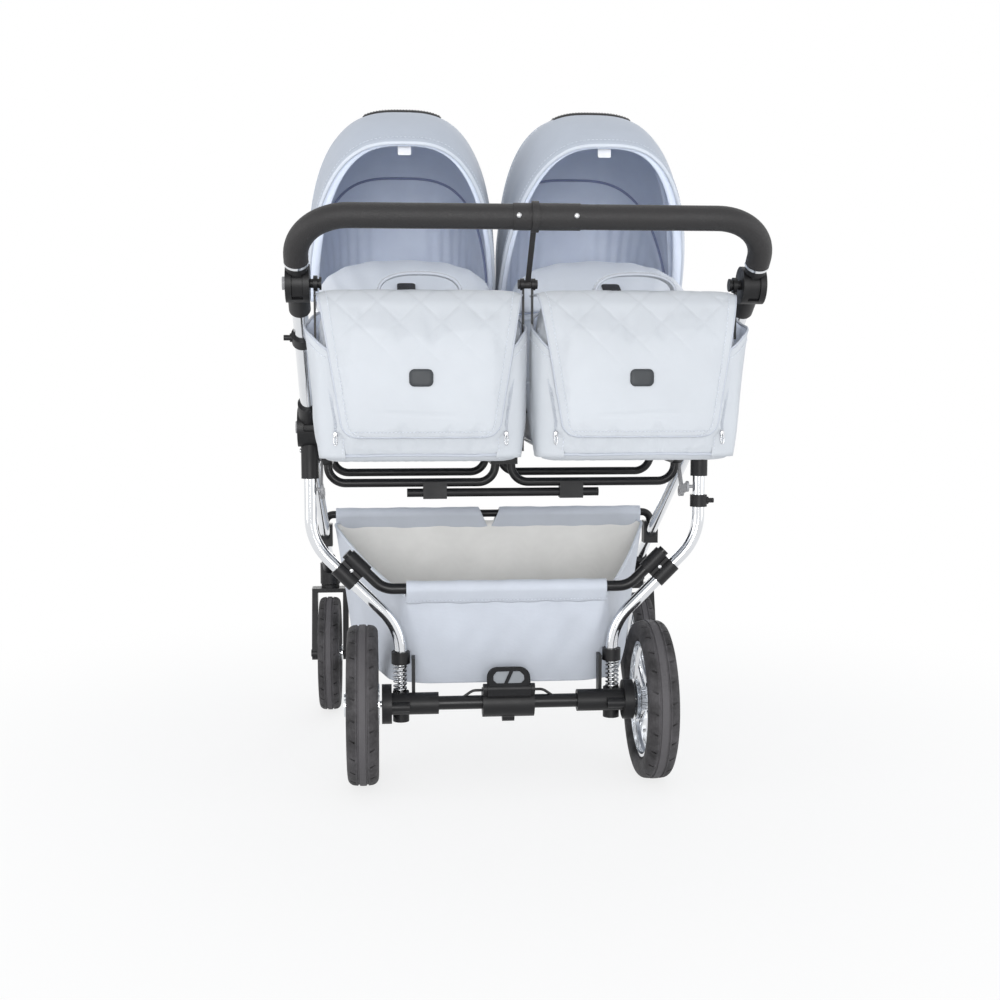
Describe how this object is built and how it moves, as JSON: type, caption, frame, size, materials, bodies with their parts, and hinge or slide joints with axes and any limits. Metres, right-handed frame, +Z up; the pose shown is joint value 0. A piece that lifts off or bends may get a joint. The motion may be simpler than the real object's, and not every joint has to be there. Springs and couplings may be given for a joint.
{
  "type": "twin pram",
  "caption": "Side-by-side twin pram: hooded carrycots on a chrome folding frame with swivel front wheels, sprung rear axle, foot brake, basket and hanging changing bags.",
  "frame": {"origin": "on the ground under the middle of the pram's length and width", "axes": "+X to the pusher's right, +Y the way the pram is pushed, +Z up"},
  "size_m": [0.772, 1.1217, 1.242],
  "materials": {
    "chrome": "polished",
    "steel": "satin",
    "black_plastic": "fine grain",
    "black_tube": "satin black",
    "grey_plastic": "satin grey",
    "pedal_rubber": "matt grey",
    "tyre": "moulded tread",
    "leatherette": "fine grain",
    "fabric": "smooth coated pale blue cloth with lilac-grey lining",
    "cable": "satin",
    "bow_alloy": "plain"
  },
  "bodies": {
    "frame": {"front_legs": "chrome", "rear_legs": "chrome", "hinge_housings": "black_plastic", "fork_heads": "black_plastic", "seat_rails": "black_plastic", "cradle_hoops": "black_tube", "tie_bar": "black_plastic", "leg_braces": "grey_plastic", "front_basket_tube": "black_tube", "rear_basket_tube": "black_tube", "basket_clamps": "black_plastic", "basket": "fabric", "spring_collars": "black_plastic", "leg_accessory_clamp": "black_plastic", "rear_springs": "steel"},
    "rear_axle": {"rear_axle_rod": "steel", "rear_axle_tube": "black_tube", "axle_brackets": "black_plastic", "brake_housing": "black_plastic", "brake_cables": "cable"},
    "brake_pedal": {"brake_pedal": "black_plastic", "pedal_pads": "pedal_rubber"},
    "left_brake_pin": {"left_brake_pin": "steel"},
    "right_brake_pin": {"right_brake_pin": "steel"},
    "left_rear_wheel": {"left_rear_tyre": "tyre", "left_rear_rim": "chrome"},
    "right_rear_wheel": {"right_rear_tyre": "tyre", "right_rear_rim": "chrome"},
    "left_fork": {"left_fork": "black_plastic"},
    "right_fork": {"right_fork": "black_plastic"},
    "left_front_wheel": {"left_front_tyre": "tyre", "left_front_rim": "chrome"},
    "right_front_wheel": {"right_front_tyre": "tyre", "right_front_rim": "chrome"},
    "handle_frame": {"handle_tubes": "chrome", "tube_lugs": "black_plastic", "tube_knuckles": "black_plastic", "handle_accessory_clamp": "black_plastic"},
    "handle": {"handle_bar": "chrome", "arm_knuckles": "black_plastic", "handle_grip": "leatherette", "bag_hanger": "leatherette"},
    "left_knuckle_button": {"left_knuckle_button": "grey_plastic"},
    "right_knuckle_button": {"right_knuckle_button": "grey_plastic"},
    "left_fold_button": {"left_fold_button": "grey_plastic"},
    "right_fold_button": {"right_fold_button": "grey_plastic"},
    "left_bag": {"left_bag": "fabric", "left_bag_hooks": "black_plastic"},
    "right_bag": {"right_bag": "fabric", "right_bag_hooks": "black_plastic"},
    "left_cot": {"left_cot": "fabric", "left_cot_mounts": "black_plastic", "left_apron": "fabric"},
    "right_cot": {"right_cot": "fabric", "right_cot_mounts": "black_plastic", "right_apron": "fabric"},
    "left_hood": {"left_hood": "fabric", "left_hood_frame": "bow_alloy"},
    "right_hood": {"right_hood": "fabric", "right_hood_frame": "bow_alloy"}
  },
  "joints": [
    {"name": "rear_suspension", "type": "slide", "parent": "frame", "child": "rear_axle", "axis": [0, 0, 1], "range_m": [0, 0.018], "stiffness_N_per_m": 12000, "springref_m": -0.025, "deforming": ["rear_springs"]},
    {"name": "brake_pedal_tilt", "type": "hinge", "parent": "rear_axle", "child": "brake_pedal", "pos_m": [0, -0.13, 0.175], "axis": [-1, 0, 0], "range_deg": [0, 20]},
    {"name": "left_brake_pin_slide", "type": "slide", "parent": "rear_axle", "child": "left_brake_pin", "axis": [-1, 0, 0], "range_m": [0, 0.0111]},
    {"name": "right_brake_pin_slide", "type": "slide", "parent": "rear_axle", "child": "right_brake_pin", "axis": [1, 0, 0], "range_m": [0, 0.0111]},
    {"name": "left_rear_wheel_spin", "type": "hinge", "parent": "rear_axle", "child": "left_rear_wheel", "pos_m": [-0.264, -0.108, 0.145], "axis": [1, 0, 0], "continuous": true},
    {"name": "right_rear_wheel_spin", "type": "hinge", "parent": "rear_axle", "child": "right_rear_wheel", "pos_m": [0.264, -0.108, 0.145], "axis": [1, 0, 0], "continuous": true},
    {"name": "left_fork_swivel", "type": "hinge", "parent": "frame", "child": "left_fork", "pos_m": [-0.344, 0.485, 0.28], "axis": [0, 0, 1], "continuous": true},
    {"name": "right_fork_swivel", "type": "hinge", "parent": "frame", "child": "right_fork", "pos_m": [0.344, 0.485, 0.28], "axis": [0, 0, 1], "continuous": true},
    {"name": "left_front_wheel_spin", "type": "hinge", "parent": "left_fork", "child": "left_front_wheel", "pos_m": [-0.344, 0.437, 0.124], "axis": [1, 0, 0], "continuous": true},
    {"name": "right_front_wheel_spin", "type": "hinge", "parent": "right_fork", "child": "right_front_wheel", "pos_m": [0.344, 0.437, 0.124], "axis": [1, 0, 0], "continuous": true},
    {"name": "frame_fold", "type": "hinge", "parent": "frame", "child": "handle_frame", "pos_m": [0, -0.084, 0.648], "axis": [-1, 0, 0], "range_deg": [0, 20]},
    {"name": "handle_tilt", "type": "hinge", "parent": "handle_frame", "child": "handle", "pos_m": [0, -0.438, 0.883], "axis": [1, 0, 0], "range_deg": [-40, 55]},
    {"name": "left_knuckle_press", "type": "slide", "parent": "handle_frame", "child": "left_knuckle_button", "axis": [1, 0, 0], "range_m": [0, 0.0028], "stiffness_N_per_m": 900, "springref_m": -0.003},
    {"name": "right_knuckle_press", "type": "slide", "parent": "handle_frame", "child": "right_knuckle_button", "axis": [-1, 0, 0], "range_m": [0, 0.0028], "stiffness_N_per_m": 900, "springref_m": -0.003},
    {"name": "left_fold_press", "type": "slide", "parent": "frame", "child": "left_fold_button", "axis": [1, 0, 0], "range_m": [0, 0.004], "stiffness_N_per_m": 900, "springref_m": -0.003},
    {"name": "right_fold_press", "type": "slide", "parent": "frame", "child": "right_fold_button", "axis": [-1, 0, 0], "range_m": [0, 0.004], "stiffness_N_per_m": 900, "springref_m": -0.003},
    {"name": "left_bag_swing", "type": "hinge", "parent": "handle_frame", "child": "left_bag", "pos_m": [0, -0.438, 0.883], "axis": [1, 0, 0], "range_deg": [-25, 15]},
    {"name": "right_bag_swing", "type": "hinge", "parent": "handle_frame", "child": "right_bag", "pos_m": [0, -0.438, 0.883], "axis": [1, 0, 0], "range_deg": [-25, 15]},
    {"name": "left_cot_lift", "type": "slide", "parent": "frame", "child": "left_cot", "axis": [0, 0, 1], "range_m": [0, 0.3]},
    {"name": "right_cot_lift", "type": "slide", "parent": "frame", "child": "right_cot", "axis": [0, 0, 1], "range_m": [0, 0.3]},
    {"name": "left_hood_fold", "type": "hinge", "parent": "left_cot", "child": "left_hood", "pos_m": [0, 0.174, 0.862], "axis": [1, 0, 0], "range_deg": [-62, 0], "deforming": ["left_hood"]},
    {"name": "right_hood_fold", "type": "hinge", "parent": "right_cot", "child": "right_hood", "pos_m": [0, 0.174, 0.862], "axis": [1, 0, 0], "range_deg": [-62, 0], "deforming": ["right_hood"]}
  ],
  "couplings": [
    {"joint": "left_brake_pin_slide", "follows": "brake_pedal_tilt", "m_per_rad": 0.0315},
    {"joint": "right_brake_pin_slide", "follows": "brake_pedal_tilt", "m_per_rad": 0.0315}
  ]
}
